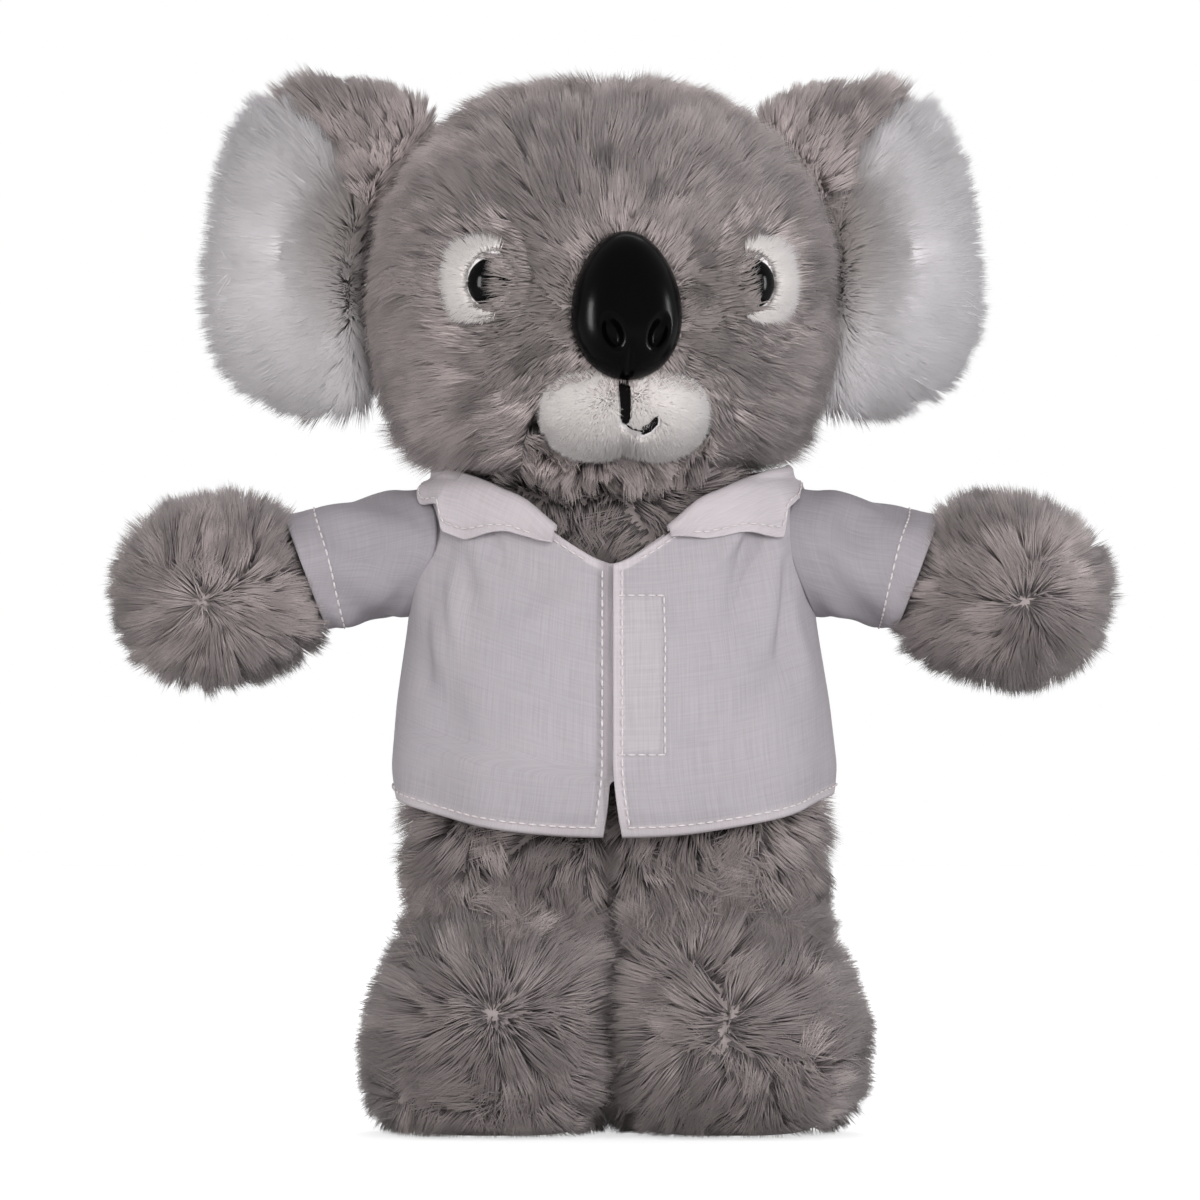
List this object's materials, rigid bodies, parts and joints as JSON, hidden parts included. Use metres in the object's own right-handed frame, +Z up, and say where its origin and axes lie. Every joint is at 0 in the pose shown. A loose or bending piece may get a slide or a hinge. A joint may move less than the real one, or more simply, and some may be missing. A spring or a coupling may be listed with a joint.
{
  "type": "plush koala",
  "caption": "Plush koala toy that stands with its arms out, with big round ears, a moulded nose and eyes, stuffed limbs and a short-sleeved shirt closed by hook-and-loop tape.",
  "frame": {"origin": "on the floor under the middle of the toy's bounding box", "axes": "+Z up from the soles to the ears, +X towards the toy's own left arm, -Y towards the face"},
  "size_m": [0.2832, 0.1245, 0.2996],
  "materials": {
    "grey_plush": "long taupe-grey plush pile with paler tips",
    "white_plush": "off-white plush pile, long on the ears and short on the face",
    "fibre_filling": "loose polyester fibre",
    "white_cotton": "plain weave cotton, topstitched",
    "tape_nylon": "woven nylon hook-and-loop tape",
    "black_gloss": "glossy black moulding",
    "washer_plastic": "plain lock washer",
    "black_thread": "embroidery thread"
  },
  "bodies": {
    "torso": {"torso_cover": "grey_plush", "torso_filling": "fibre_filling", "shirt_back": "white_cotton", "shirt_front_left": "white_cotton", "shirt_front_right": "white_cotton", "collar": "white_cotton", "hook_tape": "tape_nylon", "loop_tape": "tape_nylon", "left_sleeve": "white_cotton", "right_sleeve": "white_cotton"},
    "head": {"head_cover": "grey_plush", "head_filling": "fibre_filling", "muzzle": "white_plush", "mouth_stitch": "black_thread", "nose": "black_gloss", "nose_washer": "washer_plastic", "left_eye": "black_gloss", "left_eye_washer": "washer_plastic", "left_eye_patch": "white_plush", "right_eye": "black_gloss", "right_eye_washer": "washer_plastic", "right_eye_patch": "white_plush"},
    "left_ear": {"left_ear_front": "white_plush", "left_ear_back": "grey_plush"},
    "right_ear": {"right_ear_front": "white_plush", "right_ear_back": "grey_plush"},
    "left_arm": {"left_arm_cover": "grey_plush", "left_arm_filling": "fibre_filling"},
    "right_arm": {"right_arm_cover": "grey_plush", "right_arm_filling": "fibre_filling"},
    "left_leg": {"left_leg_cover": "grey_plush", "left_leg_filling": "fibre_filling"},
    "right_leg": {"right_leg_cover": "grey_plush", "right_leg_filling": "fibre_filling"}
  },
  "joints": [
    {"name": "neck_turn", "type": "hinge", "parent": "torso", "child": "head", "pos_m": [-0.0034, 0.011, 0.1868], "axis": [0, 0, 1], "range_deg": [-32, 18], "stiffness_Nm_per_rad": 0.1},
    {"name": "left_ear_fold", "type": "hinge", "parent": "head", "child": "left_ear", "pos_m": [0.05519, 0.03028, 0.2403], "axis": [-0.2064, -0.0253, 0.9781], "range_deg": [-15, 15], "stiffness_Nm_per_rad": 0.05},
    {"name": "right_ear_fold", "type": "hinge", "parent": "head", "child": "right_ear", "pos_m": [-0.06491, 0.01554, 0.2403], "axis": [-0.2064, -0.0253, -0.9781], "range_deg": [-15, 15], "stiffness_Nm_per_rad": 0.05},
    {"name": "left_arm_swing", "type": "hinge", "parent": "torso", "child": "left_arm", "pos_m": [0.06, 0.011, 0.163], "axis": [0, 1, 0], "range_deg": [-10, 40], "stiffness_Nm_per_rad": 0.3, "deforming": ["left_sleeve"]},
    {"name": "right_arm_swing", "type": "hinge", "parent": "torso", "child": "right_arm", "pos_m": [-0.06, 0.011, 0.163], "axis": [0, -1, 0], "range_deg": [-10, 40], "stiffness_Nm_per_rad": 0.3, "deforming": ["right_sleeve"]},
    {"name": "left_leg_swing", "type": "hinge", "parent": "torso", "child": "left_leg", "pos_m": [0.03, 0.011, 0.08], "axis": [-1, 0, 0], "range_deg": [0, 60], "stiffness_Nm_per_rad": 0.5, "deforming": ["shirt_front_left"]},
    {"name": "right_leg_swing", "type": "hinge", "parent": "torso", "child": "right_leg", "pos_m": [-0.03, 0.011, 0.08], "axis": [-1, 0, 0], "range_deg": [0, 60], "stiffness_Nm_per_rad": 0.5, "deforming": ["shirt_front_right"]}
  ]
}
